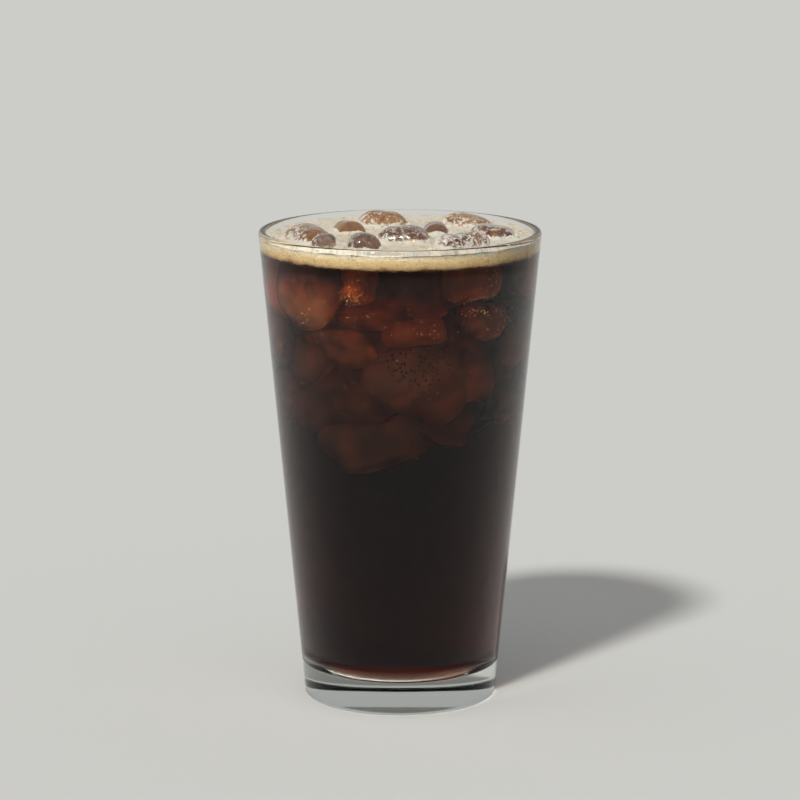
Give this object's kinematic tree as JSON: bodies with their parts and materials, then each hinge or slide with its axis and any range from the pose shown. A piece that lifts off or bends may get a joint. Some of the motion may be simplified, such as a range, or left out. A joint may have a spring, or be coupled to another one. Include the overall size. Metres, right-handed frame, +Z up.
{
  "type": "iced americano in a glass",
  "caption": "Tall tapered clear glass filled almost to the rim with black iced coffee, under a pale foam layer with half-melted ice lumps standing through it.",
  "frame": {"origin": "centre of the ring that the glass stands on, on the ground", "axes": "+Z up along the glass's axis; +X across to the right and +Y to the back, seen from the side where the ice stands as modelled"},
  "size_m": [0.0886, 0.0886, 0.1528],
  "materials": {
    "clear_glass": "smooth pressed soda-lime glass, fire-polished rim",
    "black_coffee": "clear dark liquid, near black in depth and red-brown where thin",
    "coffee_foam": "fine coffee foam, cream on top and tan towards the coffee",
    "ice": "melted wet ice, frosted in places and tinted by the coffee"
  },
  "bodies": {
    "root": {"glass": "clear_glass", "coffee": "black_coffee", "foam": "coffee_foam", "ice_01": "ice", "ice_02": "ice", "ice_03": "ice", "ice_04": "ice", "ice_05": "ice", "ice_06": "ice", "ice_07": "ice", "ice_08": "ice", "ice_09": "ice", "ice_10": "ice"}
  },
  "joints": []
}
